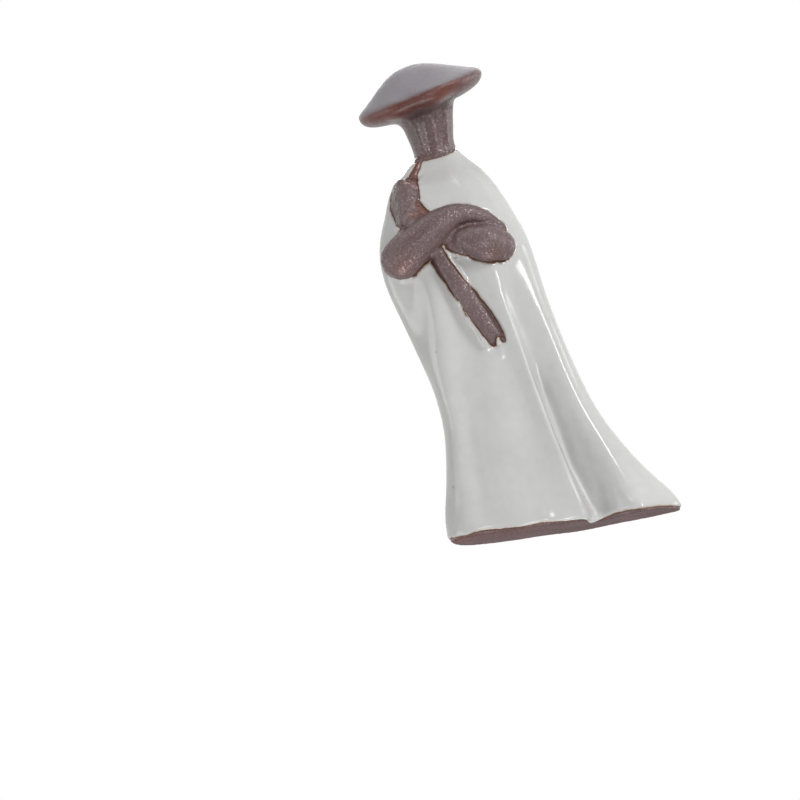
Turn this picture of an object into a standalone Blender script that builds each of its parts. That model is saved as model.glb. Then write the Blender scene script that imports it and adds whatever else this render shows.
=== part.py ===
"""Glazed samurai figurine, made and fired as one piece.

A folded robe that stands on its own flat foot and leans to one side, two crossed
sleeves, a sword pushed through under them, a faceless head and a thick cone hat.

All lengths are in metres. +Z is up, the front faces -Y, X = 0 is the middle of the foot.
"""
import math

import bmesh
import bpy
from mathutils import Matrix, Vector

MM = 0.001

# Driving dimensions
FOOT_WIDTH = 38.1 * MM         # left corner of the hem to the tip of the flare
ROBE_DEPTH = 15.0 * MM         # front to back across the skirt
ROBE_HEIGHT = 67.2 * MM        # foot to the top of the neck, which ends inside the head
FOOT_EDGE = 0.45 * MM          # rounding where the wall turns under to the flat foot
RING_STEP = 1.95 * MM          # height between two rings of the robe
SPAN_POINTS = 6                # ring points from one fold line to the next

HEAD_LENGTH = 10.6 * MM
HEAD_SINK = 2.6 * MM           # the head reaches this far down over the neck
HEAD_LEAN = math.radians(-4.3)   # to the left
HEAD_NOD = math.radians(3.2)     # to the front
HEAD_TOP_RADIUS = 5.3 * MM
HEAD_FOOT_RADIUS = 3.25 * MM
HEAD_RIDGE = 0.34 * MM         # relief of the two upright ridges in front
HEAD_RIDGE_TURNS = 4.6         # swells that a whole turn of the head would hold
HEAD_POINTS = 40
HEAD_RINGS = 7

HAT_RADIUS = 11.4 * MM
HAT_HEIGHT = 5.2 * MM          # brim to the blunt tip
HAT_BELLY = 3.1 * MM           # how far the underside bulges below the brim
HAT_TIP_SHIFT = 0.6 * MM       # the tip sits to the left of the middle
HAT_SIDE_SHIFT = 0.5 * MM      # the hat sits a little to the left on the head
HAT_SEAT = 0.8 * MM            # brim level above the top of the head
HAT_ROLL = math.radians(-15.5)   # left side of the brim hangs lower
HAT_PITCH = math.radians(16.5)   # brim dips towards the front
HAT_POINTS = 48

SLEEVE_RADIUS = 3.5 * MM       # at the thick elbow
SLEEVE_DEPTH = 0.86            # sleeves are this much flatter front to back
SLEEVE_POINTS = 16             # points round a sleeve
END_TURNS = (15.0, 40.0, 65.0)   # rings of a round sleeve end, in degrees

HILT_WIDTH = 4.2 * MM
HILT_DEPTH = 4.6 * MM
HILT_TURN = math.radians(14.0)   # the grip shows a little of its left side
HILT_BEVEL = 0.45 * MM

SCABBARD_WIDTH = 3.4 * MM
SCABBARD_NECK = 2.8 * MM       # narrower where it comes out under the sleeves
SCABBARD_DEPTH = 2.6 * MM
SCABBARD_BEVEL = 0.75 * MM

MERGE_DISTANCE = 0.0001 * MM   # points closer than this are one point
CORNER_ANGLE = math.radians(38.0)   # a steeper turn is a real corner

# The lines below are drawn in millimetres on a robe of this width, depth and height,
# and follow the driving dimensions from there.
DRAWN = Vector((38.1, 15.0, 67.2))
NECK = (-12.8, 0.0, 67.2)
HILT_TOP = (-18.3, -2.9, 60.3)
HILT_FOOT = (-18.8, -5.6, 51.6)
SCABBARD_TOP = (-15.3, -6.5, 48.8)
SCABBARD_TIP = (-7.6, -6.6, 30.9)

# Fold lines of the robe. Each line runs up the robe: (height, x, y). The first number says how
# sharp the cloth turns there, 0 for a soft swell and 1 for a pressed pleat. Lines go
# round the robe from the left side over the front to the right side and the back.
FOLD_LINES = [
    # left side of the robe, with the hanging back of the left sleeve
    (0.0, [(0, -19.3, -1.0), (2.4, -19.8, -1.0), (11, -18.4, -0.5), (19, -17.7, 0.0),
           (25, -18.4, 0.5), (31, -20.1, 0.5), (39, -22.5, 0.5), (45.4, -24.3, 0.0),
           (49, -24.6, 0.0), (52, -24.2, 0.0), (55.7, -22.8, 0.0), (60, -21.1, 0.0),
           (62.2, -19.7, 0.0), (64.0, -17.2, 0.0), (65.8, -15.9, 0.0), (68, -15.0, 0.0)]),
    # left front corner: the outline low down, a pressed edge above
    (0.3, [(0, -18.3, -5.0), (11, -17.5, -4.6), (19, -17.2, -4.0), (25, -18.0, -3.8),
           (31, -18.8, -3.5), (38, -19.0, -3.3), (44, -19.6, -3.8), (50, -20.9, -4.8),
           (57, -20.4, -4.0), (62.2, -18.2, -2.4), (66, -15.2, -1.9), (68, -14.5, -1.6)]),
    # soft swell down the left of the skirt
    (0.0, [(0, -15.2, -7.3), (19, -15.4, -6.2), (31, -15.9, -5.9), (44, -16.8, -5.9),
           (50, -17.8, -6.0), (57, -17.8, -5.4), (62.2, -16.6, -3.3), (66, -14.4, -2.7),
           (68, -13.9, -2.2)]),
    # shallow valley left of the sword tip
    (0.0, [(0, -12.9, -7.1), (17, -13.2, -5.6), (24, -13.0, -5.3), (36, -13.2, -5.8),
           (44, -13.6, -6.3), (50, -14.0, -6.9), (57, -14.0, -6.2), (62.2, -13.9, -3.9),
           (66, -13.4, -3.0), (68, -13.2, -2.5)]),
    # broad middle of the skirt
    (0.0, [(0, -7.2, -8.1), (17, -8.4, -6.8), (30, -9.0, -6.6), (44, -10.2, -7.0),
           (50, -10.6, -7.3), (57, -11.4, -6.5), (62.2, -12.0, -4.0), (66, -12.2, -3.1),
           (68, -12.4, -2.6)]),
    # faint hollow just left of the big pleat
    (0.1, [(0, 0.9, -7.5), (9, -1.6, -6.9), (18, -4.0, -6.4), (28, -6.0, -6.5),
           (40, -8.0, -7.0), (50, -7.6, -7.4), (57, -9.0, -6.5), (62.2, -10.5, -3.9),
           (66, -11.2, -2.9), (68, -11.6, -2.4)]),
    # crest of the big pleat
    (0.75, [(0, 3.5, -7.7), (9, 0.7, -7.5), (18, -1.1, -7.5), (28, -3.0, -7.5),
            (37, -5.0, -7.5), (41.4, -5.6, -7.5), (45, -6.4, -7.4), (50, -6.0, -7.2),
            (57, -7.6, -6.0), (62.2, -9.7, -3.5), (66, -10.6, -2.5), (68, -11.2, -2.1)]),
    # bottom of the deep valley beside it
    (0.2, [(0, 5.3, -3.8), (9, 3.6, -4.0), (18, 1.4, -4.5), (26, -1.0, -5.0),
           (34, -3.1, -5.5), (42, -4.2, -6.3), (50, -4.4, -6.7), (57, -6.2, -5.4),
           (62.2, -8.8, -3.0), (66, -10.1, -2.1), (68, -10.9, -1.7)]),
    # soft swell between the valley and the right pleat
    (0.0, [(0, 8.2, -6.6), (9, 6.0, -5.0), (18, 3.1, -4.8), (29, -0.4, -5.2),
           (40, -2.6, -5.9), (50, -2.9, -6.0), (57, -5.1, -4.7), (62.2, -8.0, -2.4),
           (66, -9.7, -1.6), (68, -10.6, -1.3)]),
    # crest of the right pleat, flying forward at the hem
    (0.45, [(0, 12.3, -9.3), (4, 10.4, -7.9), (13, 7.4, -6.0), (21, 4.7, -5.2),
            (32, 2.5, -4.9), (38, 0.9, -4.9), (44.4, 0.0, -4.6), (50, -1.0, -4.3),
            (57, -4.0, -3.2), (62.2, -7.2, -1.7), (66, -9.4, -1.0), (68, -10.4, -0.8)]),
    # right side, running out into the thin flare of the hem
    (0.0, [(0, 18.8, -3.9), (1.6, 18.9, -3.8), (3.1, 18.2, -3.4), (4.7, 16.8, -2.6),
           (8.8, 13.7, -1.4), (12.8, 11.1, -0.6), (16.8, 8.9, -0.2), (20.8, 7.2, 0.0),
           (26.9, 5.2, 0.0), (33, 3.6, 0.0), (39.2, 2.3, 0.0), (45.4, 1.4, 0.0),
           (49.5, 0.6, 0.0), (53.6, -0.9, 0.0), (57.8, -2.7, 0.0), (62, -4.9, 0.0),
           (64.1, -6.8, 0.0), (65.9, -8.8, 0.0), (68, -10.4, 0.0)]),
    # back, right to left: hem of the flare, then three soft folds
    (0.0, [(0, 14.6, 0.6), (9, 9.4, 2.6), (18, 5.6, 4.0), (32, 2.0, 4.6), (43, 0.2, 4.6),
           (51, -0.9, 4.5), (57, -3.4, 3.9), (62, -6.8, 2.9), (66, -9.9, 1.8), (68, -10.8, 1.5)]),
    (0.2, [(0, 8.4, 3.6), (9, 5.6, 4.2), (18, 3.0, 5.0), (32, -0.6, 5.6), (43, -2.0, 5.9),
           (51, -3.3, 6.1), (57, -5.6, 5.4), (62, -8.4, 3.9), (66, -10.8, 2.6), (68, -11.4, 2.2)]),
    (0.0, [(0, 2.4, 7.0), (9, 1.2, 6.6), (18, -1.0, 6.6), (32, -4.4, 6.8), (43, -6.0, 7.1),
           (51, -7.0, 7.2), (57, -8.6, 6.4), (62, -10.4, 4.7), (66, -11.9, 3.0),
           (68, -12.1, 2.5)]),
    (0.1, [(0, -3.4, 6.4), (9, -4.0, 5.7), (18, -5.8, 5.7), (32, -9.0, 6.1), (43, -10.8, 6.7),
           (51, -12.0, 7.0), (57, -12.3, 6.4), (62, -12.6, 4.7), (66, -12.9, 3.0),
           (68, -12.8, 2.5)]),
    (0.0, [(0, -9.6, 7.3), (9, -9.8, 6.6), (18, -10.8, 6.4), (32, -13.6, 6.5), (43, -16.0, 6.8),
           (51, -17.0, 6.9), (57, -16.0, 5.9), (62, -14.8, 4.3), (66, -13.9, 2.7),
           (68, -13.5, 2.2)]),
    (0.0, [(0, -16.8, 5.2), (9, -15.9, 4.8), (18, -15.6, 4.8), (32, -18.2, 4.9),
           (43, -21.2, 5.0), (51, -22.0, 4.9), (57, -20.1, 4.0), (62, -17.6, 2.7),
           (66, -15.2, 1.7), (68, -14.4, 1.4)]),
]

# Sleeves: middle line, and thickness as a share of the elbow's, from the thick end on.
UPPER_SLEEVE = [(-20.9, -5.3, 47.3, 0.99), (-19.2, -6.0, 48.5, 1.0), (-16.7, -6.8, 49.9, 0.96),
                (-14.1, -7.3, 51.4, 0.84), (-11.6, -7.5, 52.6, 0.66), (-9.1, -7.4, 52.7, 0.53),
                (-6.5, -7.1, 51.8, 0.43), (-3.9, -6.5, 49.9, 0.27)]
LOWER_SLEEVE = [(-11.6, -7.6, 49.2, 0.34), (-9.8, -8.0, 48.5, 0.63), (-7.8, -8.0, 47.7, 0.84),
                (-6.0, -7.6, 47.3, 0.89), (-4.5, -7.0, 46.9, 0.76)]
HIDDEN_HAND = [(-13.1, -7.0, 48.3, 0.37), (-11.2, -7.4, 47.2, 0.36), (-9.3, -7.2, 46.1, 0.26)]


def placed(x, y, z):
    """Drawn point on the robe, moved to where the driving dimensions put it."""
    return Vector((x * FOOT_WIDTH / DRAWN.x, y * ROBE_DEPTH / DRAWN.y,
                   z * ROBE_HEIGHT / DRAWN.z))


def material(name, colour, roughness, coat):
    """Fired surface with its colour, roughness and clear coat."""
    made = bpy.data.materials.new(name)
    made.use_nodes = True
    shader = made.node_tree.nodes["Principled BSDF"]
    shader.inputs["Base Color"].default_value = (*colour, 1.0)
    shader.inputs["Roughness"].default_value = roughness
    shader.inputs["Metallic"].default_value = 0.0
    shader.inputs["Coat Weight"].default_value = coat
    return made


def steady_slopes(keys):
    """Slope at each key, flat at every turn, so a line never swings past its keys."""
    steps = [(b[1] - a[1]) / (b[0] - a[0]) for a, b in zip(keys, keys[1:])]
    slopes = [steps[0]]
    for before, after in zip(steps, steps[1:]):
        turning = before * after <= 0.0
        slopes.append(0.0 if turning else 2.0 * before * after / (before + after))
    slopes.append(steps[-1])
    return slopes


def hermite(start, end, leave, arrive, t):
    """Cubic from start to end with the given end slopes, t from 0 to 1."""
    return (start * (1 + 2 * t) * (1 - t) ** 2 + leave * t * (1 - t) ** 2
            + end * t * t * (3 - 2 * t) + arrive * t * t * (t - 1))


def value_at(keys, slopes, height):
    """Smooth value of one coordinate of a fold line at a height."""
    height = min(max(height, keys[0][0]), keys[-1][0])
    for index in range(len(keys) - 1):
        low, high = keys[index], keys[index + 1]
        if height <= high[0]:
            span = high[0] - low[0]
            t = (height - low[0]) / span
            return hermite(low[1], high[1], slopes[index] * span,
                           slopes[index + 1] * span, t)
    return keys[-1][1]


def traced_lines():
    """Fold lines split into x and y tracks with their slopes."""
    traced = []
    for sharpness, keys in FOLD_LINES:
        across = [(key[0], key[1]) for key in keys]
        depth = [(key[0], key[2]) for key in keys]
        traced.append((sharpness, across, steady_slopes(across), depth, steady_slopes(depth)))
    return traced


def robe_ring(traced, height):
    """Closed outline of the robe at one height, drawn through all the fold lines."""
    level = height * DRAWN.z / ROBE_HEIGHT
    knots = [Vector((value_at(x, sx, level), value_at(y, sy, level)))
             for _, x, sx, y, sy in traced]
    count = len(knots)
    ring = []
    for index in range(count):
        here = knots[index]
        there = knots[(index + 1) % count]
        chord = there - here
        leave_way = (there - knots[index - 1]).normalized() * chord.length
        arrive_way = (knots[(index + 2) % count] - here).normalized() * chord.length
        leave = leave_way.lerp(chord, traced[index][0])
        arrive = arrive_way.lerp(chord, traced[(index + 1) % count][0])
        for step in range(SPAN_POINTS):
            spot = hermite(here, there, leave, arrive, step / SPAN_POINTS)
            ring.append(placed(spot.x, spot.y, level))
    return ring


def pulled_in(ring, amount):
    """The same outline moved inwards by an even amount."""
    count = len(ring)
    moved = []
    for index, point in enumerate(ring):
        along = (ring[(index + 1) % count] - ring[index - 1]).normalized()
        moved.append(point + Vector((-along.y, along.x, 0.0)) * amount)
    return moved


def skin(name, rings, surface):
    """Closed body through a stack of rings, with a flat fan at either end."""
    mesh = bmesh.new()
    rows = [[mesh.verts.new(point) for point in ring] for ring in rings]
    count = len(rows[0])
    for lower, upper in zip(rows, rows[1:]):
        for index in range(count):
            after = (index + 1) % count
            mesh.faces.new((lower[index], lower[after], upper[after], upper[index]))
    mesh.faces.new(list(reversed(rows[0])))
    mesh.faces.new(rows[-1])
    bmesh.ops.triangulate(mesh, faces=mesh.faces[:])
    bmesh.ops.recalc_face_normals(mesh, faces=mesh.faces[:])
    data = bpy.data.meshes.new(name)
    mesh.to_mesh(data)
    mesh.free()
    data.materials.append(surface)
    body = bpy.data.objects.new(name, data)
    bpy.context.collection.objects.link(body)
    return body


def robe(surface):
    """Folded robe on its flat foot with a small rounded edge."""
    traced = traced_lines()
    rings = []
    for turn in (0.0, 30.0, 60.0):
        angle = math.radians(turn)
        height = FOOT_EDGE * (1.0 - math.cos(angle))
        inset = FOOT_EDGE * (1.0 - math.sin(angle))
        rings.append([Vector((point.x, point.y, height))
                      for point in pulled_in(robe_ring(traced, 0.0), inset)])
    levels = round((ROBE_HEIGHT - FOOT_EDGE) / RING_STEP)
    for level in range(levels + 1):
        height = FOOT_EDGE + (ROBE_HEIGHT - FOOT_EDGE) * level / levels
        rings.append(robe_ring(traced, height))
    return skin("robe", rings, surface)


def turned(profile, points):
    """Rings of a turned shape from (radius, height) pairs."""
    rings = []
    for radius, height in profile:
        rings.append([Vector((radius * math.cos(2 * math.pi * index / points),
                              radius * math.sin(2 * math.pi * index / points), height))
                      for index in range(points)])
    return rings


def head_ends():
    """Middle of the head's foot, sunk over the neck, and of its top inside the hat."""
    foot = placed(*NECK) - Vector((0.0, 0.0, HEAD_SINK))
    way = Vector((math.tan(HEAD_LEAN), -math.tan(HEAD_NOD), 1.0))
    return foot, foot + way * HEAD_LENGTH


def hat(surface):
    """Thick cone hat with a rounded brim and a bellied underside, tipped to its place."""
    profile = [(0.06, -1.0), (0.32, -0.98), (0.58, -0.90), (0.78, -0.77), (0.91, -0.58),
               (0.975, -0.34), (1.0, -0.08), (0.99, 0.05), (0.93, 0.13), (0.82, 0.25),
               (0.66, 0.45), (0.48, 0.68), (0.32, 0.86), (0.17, 0.97), (0.05, 1.0)]
    scaled = [(share * HAT_RADIUS, rise * (HAT_HEIGHT if rise > 0.0 else HAT_BELLY))
              for share, rise in profile]
    turn = Matrix.Rotation(HAT_ROLL, 4, "Y") @ Matrix.Rotation(HAT_PITCH, 4, "X")
    centre = head_ends()[1] + Vector((-HAT_SIDE_SHIFT, 0.0, HAT_SEAT))
    rings = []
    for ring in turned(scaled, HAT_POINTS):
        tipped = []
        for point in ring:
            shift = HAT_TIP_SHIFT * max(point.z, 0.0) / HAT_HEIGHT
            tipped.append(centre + turn @ (point - Vector((shift, 0.0, 0.0))))
        rings.append(tipped)
    return skin("hat", rings, surface)


def head(surface):
    """Tapered faceless head with two soft upright ridges in front."""
    foot, top = head_ends()
    rings = []
    for row in range(HEAD_RINGS + 1):
        share = row / HEAD_RINGS
        radius = HEAD_FOOT_RADIUS + (HEAD_TOP_RADIUS - HEAD_FOOT_RADIUS) * share
        ring = []
        for index in range(HEAD_POINTS):
            angle = 2 * math.pi * index / HEAD_POINTS
            facing = max(0.0, -math.sin(angle))
            swell = math.cos(HEAD_RIDGE_TURNS * (angle - 1.5 * math.pi))
            reach = radius - HEAD_RIDGE * swell * facing
            ring.append(foot.lerp(top, share)
                        + Vector((reach * math.cos(angle), reach * math.sin(angle), 0.0)))
        rings.append(ring)
    return skin("head", rings, surface)


def softened(line):
    """Middle line and radii with one more point curved in between each two."""
    points = [(*placed(*key[:3]), key[3] * SLEEVE_RADIUS) for key in line]
    points = [Vector(point) for point in points]
    smooth = [points[0]]
    for index in range(len(points) - 1):
        here, there = points[index], points[index + 1]
        leave = (there - points[max(index - 1, 0)]) * 0.5
        arrive = (points[min(index + 2, len(points) - 1)] - here) * 0.5
        smooth.append(hermite(here, there, leave, arrive, 0.5))
        smooth.append(there)
    return smooth


def sleeve(name, line, surface):
    """Thick rolled sleeve along a middle line, closed by round ends."""
    curve = softened(line)
    spine = [point.xyz for point in curve]
    radii = [point.w for point in curve]
    ways = []
    for index in range(len(spine)):
        before = spine[max(index - 1, 0)]
        after = spine[min(index + 1, len(spine) - 1)]
        ways.append((after - before).normalized())
    turns = [math.radians(turn) for turn in END_TURNS]
    near = [(spine[0] - ways[0] * radii[0] * math.cos(turn), ways[0],
             radii[0] * math.sin(turn)) for turn in turns]
    far = [(spine[-1] + ways[-1] * radii[-1] * math.cos(turn), ways[-1],
            radii[-1] * math.sin(turn)) for turn in reversed(turns)]
    rings = []
    for centre, way, radius in [*near, *zip(spine, ways, radii), *far]:
        side = way.cross(Vector((0.0, -1.0, 0.0))).normalized()
        front = side.cross(way).normalized()
        ring = []
        for index in range(SLEEVE_POINTS):
            angle = 2 * math.pi * index / SLEEVE_POINTS
            ring.append(centre + side * radius * math.cos(angle)
                        + front * radius * SLEEVE_DEPTH * math.sin(angle))
        rings.append(ring)
    return skin(name, rings, surface)


def bar(name, size, place, bevel, taper, surface):
    """Square bar with softened edges; taper narrows its upper end."""
    mesh = bmesh.new()
    bmesh.ops.create_cube(mesh, size=1.0)
    for vert in mesh.verts:
        narrow = taper if vert.co.z > 0.0 else 1.0
        vert.co = Vector((vert.co.x * size.x * narrow, vert.co.y * size.y, vert.co.z * size.z))
    bmesh.ops.bevel(mesh, geom=mesh.edges[:], offset=bevel, segments=2, profile=0.5,
                    affect="EDGES", clamp_overlap=True)
    bmesh.ops.triangulate(mesh, faces=mesh.faces[:])
    bmesh.ops.transform(mesh, matrix=place, verts=mesh.verts[:])
    bmesh.ops.recalc_face_normals(mesh, faces=mesh.faces[:])
    data = bpy.data.meshes.new(name)
    mesh.to_mesh(data)
    mesh.free()
    data.materials.append(surface)
    body = bpy.data.objects.new(name, data)
    bpy.context.collection.objects.link(body)
    return body


def slanted(top, foot, turn):
    """Placing matrix of a bar whose length runs from foot to top, turned about that length."""
    way = (top - foot).normalized()
    side = Vector((0.0, 1.0, 0.0)).cross(way).normalized()
    depth = way.cross(side).normalized()
    frame = Matrix((side, depth, way)).transposed().to_4x4()
    return Matrix.Translation((top + foot) * 0.5) @ frame @ Matrix.Rotation(turn, 4, "Z")


def hilt(surface):
    """Wrapped grip of the sword, leaning back with the left shoulder."""
    top, foot = placed(*HILT_TOP), placed(*HILT_FOOT)
    size = Vector((HILT_WIDTH, HILT_DEPTH, (top - foot).length))
    return bar("hilt", size, slanted(top, foot, HILT_TURN), HILT_BEVEL, 1.0, surface)


def scabbard(surface):
    """Flat scabbard slanting down the front of the robe."""
    top, tip = placed(*SCABBARD_TOP), placed(*SCABBARD_TIP)
    size = Vector((SCABBARD_WIDTH, SCABBARD_DEPTH, (top - tip).length))
    taper = SCABBARD_NECK / SCABBARD_WIDTH
    return bar("scabbard", size, slanted(top, tip, 0.0), SCABBARD_BEVEL, taper, surface)


def joined(body, additions):
    """All parts melted into one closed body."""
    for addition in additions:
        union = body.modifiers.new(addition.name, "BOOLEAN")
        union.operation = "UNION"
        union.solver = "EXACT"
        union.material_mode = "TRANSFER"
        union.object = addition
        bpy.context.view_layer.update()
        graph = bpy.context.evaluated_depsgraph_get()
        data = bpy.data.meshes.new_from_object(body.evaluated_get(graph))
        body.modifiers.clear()
        body.data = data
        bpy.data.objects.remove(addition, do_unlink=True)
    return body


def cleaned(body):
    """Closed triangles with no stray edges, shaded smooth but for the real corners."""
    mesh = bmesh.new()
    mesh.from_mesh(body.data)
    bmesh.ops.remove_doubles(mesh, verts=mesh.verts[:], dist=MERGE_DISTANCE)
    bmesh.ops.dissolve_degenerate(mesh, edges=mesh.edges[:], dist=MERGE_DISTANCE)
    loose = [edge for edge in mesh.edges if not edge.link_faces]
    bmesh.ops.delete(mesh, geom=loose, context="EDGES")
    bmesh.ops.triangulate(mesh, faces=mesh.faces[:])
    bmesh.ops.recalc_face_normals(mesh, faces=mesh.faces[:])
    mesh.to_mesh(body.data)
    mesh.free()
    body.data.shade_smooth()
    body.data.set_sharp_from_angle(angle=CORNER_ANGLE)


def main():
    for item in list(bpy.data.objects):
        bpy.data.objects.remove(item, do_unlink=True)
    glaze = material("robe_glaze", (0.78, 0.79, 0.78), 0.16, 0.6)
    clay = material("bare_clay", (0.20, 0.155, 0.15), 0.55, 0.0)
    body = robe(glaze)
    additions = [
        sleeve("upper_sleeve", UPPER_SLEEVE, clay),
        sleeve("hidden_hand", HIDDEN_HAND, clay),
        sleeve("lower_sleeve", LOWER_SLEEVE, clay),
        hilt(clay),
        scabbard(clay),
        head(clay),
        hat(clay),
    ]
    figurine = joined(body, additions)
    figurine.name = "figurine"
    figurine.data.name = "figurine"
    cleaned(figurine)


main()
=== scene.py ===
"""Glazed samurai figurine: bare clay body with sleeves, sword, head and hat, and its glaze."""
import math

import bmesh
import bpy
import numpy as np
from mathutils import Matrix, Vector, noise
from mathutils.bvhtree import BVHTree
from mathutils.kdtree import KDTree


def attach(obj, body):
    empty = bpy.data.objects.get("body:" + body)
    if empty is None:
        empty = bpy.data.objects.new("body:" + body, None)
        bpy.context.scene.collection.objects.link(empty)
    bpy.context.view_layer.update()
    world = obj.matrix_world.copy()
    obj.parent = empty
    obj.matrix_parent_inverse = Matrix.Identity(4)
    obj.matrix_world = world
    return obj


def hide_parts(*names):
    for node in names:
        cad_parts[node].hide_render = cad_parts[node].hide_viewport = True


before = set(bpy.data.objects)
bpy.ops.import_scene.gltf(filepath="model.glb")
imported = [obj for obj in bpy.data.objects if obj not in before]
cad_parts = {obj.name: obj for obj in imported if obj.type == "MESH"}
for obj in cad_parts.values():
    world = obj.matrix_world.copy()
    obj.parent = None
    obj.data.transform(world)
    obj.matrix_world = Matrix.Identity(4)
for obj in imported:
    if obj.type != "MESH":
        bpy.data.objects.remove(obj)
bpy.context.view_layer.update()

MM = 0.001
NODE = "figurine"
FAR = 1e9                      # mm, further than any point
TINY = 1e-9

# Lengths below are in mm, and a pair of numbers is a span over which something sets in or fades.

# Fired body
VOXEL = 0.345                  # size of the fine mesh
MERGED = 1e-4                  # points of the solid this close are one
FINE_BAND = 0.75               # either side of the glaze edge that is meshed finer
EVENING_PASSES = 60            # rounds of smoothing that take the facets out
EVENING_IN, EVENING_OUT = 0.50, -0.525
ROUNDING_PASSES = 18           # rounds that soften the robe's pleats under the glaze
ROUNDED_INSIDE = (0.2, 1.2)    # inside the glaze edge
DRAWN_PASSES = 40              # rounds that even the robe along its pleats
DRAWN_INSIDE = (0.3, 1.5)
DRAWN_FOCUS, DRAWN_REST = 6, 1e-4       # how strictly they keep to the run, and what is left beside
PLEAT_SLOPE, SPREAD_LEFT, SPREAD_RIGHT = -0.17, 0.012, 0.024    # run of the pleats to the side
BROAD_PASSES = 90              # rounds that leave only the robe's broad form
FOLD_GAIN = 0.5                # how much its folds stand out further from that form
FOLD_REST = 0.12               # that a plain round part stands out from it
FOLD_INSIDE, FOLD_FACING = (0.2, 2.0), (0.25, 0.65)
FOLD_RIGHT, FOLD_TOP = (14.0, 17.0), (46.0, 52.0)       # x and z where that fades out
FRONT_INSIDE, FRONT_FACING = (0.1, 0.8), (0.0, 0.3)     # where the drawn pleats count
HAND_WAVE = 0.07               # unevenness left by the maker's hand
HAND_WAVE_LENGTH = 9.0
HAND_RISE, HAND_SHRINK = 3.0, 0.02      # height over which it sets in, and how far all sinks
HAND_SEED, EDGE_SEED, GRIP_SEED = 1, 3, 5
WAVE_SHIFT = (7.3, 3.1, 5.7)            # step through the noise from one seed to the next
WAVE_ROUGHNESS, WAVE_STEP = 0.7, 2.1    # weight and size of each finer octave

# Glaze
GLAZE = 0.30                   # thickness
GLAZE_ROLL = 0.55              # over which its edge rises to full thickness
UNDERSIDE_KEPT = 0.68          # share of the glaze's faces left when its underside is thinned
UNDERSIDE_LIFT = 0.012         # least height of its underside over the ground
GLAZE_SINK = 0.07              # that its underside is bedded into the clay
EDGE_WANDER, EDGE_WAVE_LENGTH = 0.09, 1.4       # that its edge strays, and over what length
EDGE_NEAR = 1.5                # from the edge where it can stray
EDGE_SNAP = 0.12               # share of a mesh side within which a point goes on its edge
ISLAND, ISLAND_LEVEL = 600, 0.1         # vertices in the largest stray patch, and its new level
CREASE_ROUNDS, CREASE_EVENING = 7, 12   # rounds that find the creases, and even them
CREASE_FILL, CREASE_LIMITS = 0.9, (-0.08, 0.15)         # how far the glaze fills them
ROBE_STEP, ROBE_FADE = 0.05, (-0.45, -0.05)     # where the clay drops to make room for glaze
DROP_FROM = 0.5                # height below which it drops sideways only

# Collar: a point on the tilted line where the head rises out of the glaze, and its slopes
COLLAR, COLLAR_SLOPE = (-15.3, -0.5, 65.0), (0.15, 0.42)

# Sleeves as on the solid: middle line and radius, flatter front to back
SLEEVE_FLAT = 0.86
SLEEVE_BARE = 0.08             # bare clay round them
UPPER_SLEEVE = [(-20.9, -5.3, 47.3, 3.46), (-19.2, -6.0, 48.5, 3.5), (-16.7, -6.8, 49.9, 3.36),
                (-14.1, -7.3, 51.4, 2.94), (-11.6, -7.5, 52.6, 2.31), (-9.1, -7.4, 52.7, 1.85),
                (-6.5, -7.1, 51.8, 1.5), (-3.9, -6.5, 49.9, 0.95)]
LOWER_SLEEVE = [(-11.6, -7.6, 49.2, 1.2), (-9.8, -8.0, 48.5, 2.2), (-7.8, -8.0, 47.7, 2.94),
                (-6.0, -7.6, 47.3, 3.1), (-4.5, -7.0, 46.9, 2.66)]

# Lines pressed into the front of the robe or drawn up on it: x, z, height, and reach to the left
# and to the right along each. For the right crest the heights are shares of CREST_RISE.
VALLEY = [(-3.0, 31.0, 0.0, 0.35, 0.9), (-2.3, 26.5, -1.0, 0.35, 1.1),
          (-1.3, 22.3, -2.4, 0.32, 1.2), (0.2, 15.4, -3.1, 0.32, 1.35),
          (1.7, 9.5, -3.1, 0.32, 1.2), (3.9, 3.5, -1.6, 0.4, 1.3), (5.0, 1.0, -0.2, 0.5, 1.3)]
RIGHT_CREST = [(0.7, 36.0, 0.6, 1.0, 1.0), (4.0, 21.7, 1.0, 2.0, 2.0), (6.1, 14.7, 1.0, 2.2, 2.2),
               (8.4, 8.4, 0.6, 2.0, 2.0), (11.2, 2.0, 0.5, 2.0, 2.0)]
CREST_PASSES = 50              # rounds that round off the crest right of the valley
CREST_INSIDE = (0.2, 1.5)
CREST_RISE = 0.2               # that it is drawn up after that
LEFT_GROOVE = [(-15.8, 34.0, 0.0, 1.6, 1.6), (-15.2, 24.0, -0.50, 1.8, 1.8),
               (-15.0, 17.0, -0.60, 1.8, 1.9), (-14.9, 11.3, -0.60, 1.8, 1.9),
               (-14.8, 5.5, -0.40, 1.8, 1.9), (-14.7, 2.0, 0.0, 1.6, 1.6)]
LEFT_SWELL = [(-12.6, 34.0, 0.0, 1.4, 3.0), (-12.4, 23.6, 0.40, 1.4, 3.5),
              (-12.0, 16.9, 0.45, 1.4, 3.5), (-11.8, 10.9, 0.45, 1.4, 3.5),
              (-11.4, 4.8, 0.35, 1.6, 3.5), (-11.2, 1.5, 0.0, 1.6, 3.0)]
MAIN_CREST = [(-5.2, 39.0, 0.0, 0.7, 0.5), (-4.6, 36.0, 0.16, 0.8, 0.5),
              (-3.3, 29.0, 0.22, 0.9, 0.4), (-2.3, 22.2, 0.28, 1.0, 0.4),
              (-0.6, 15.3, 0.32, 1.1, 0.4), (1.1, 9.4, 0.32, 1.1, 0.4), (2.7, 3.4, 0.24, 1.1, 0.5)]
LEFT_TURN, LEFT_TURN_SLOPE = -8.0, 0.04         # x where the robe's left turns back, how steeply
LEFT_TURN_EASE = 2.0
LEFT_TURN_FOOT, LEFT_TURN_TOP = (1.0, 5.0), (32.0, 42.0)

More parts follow.
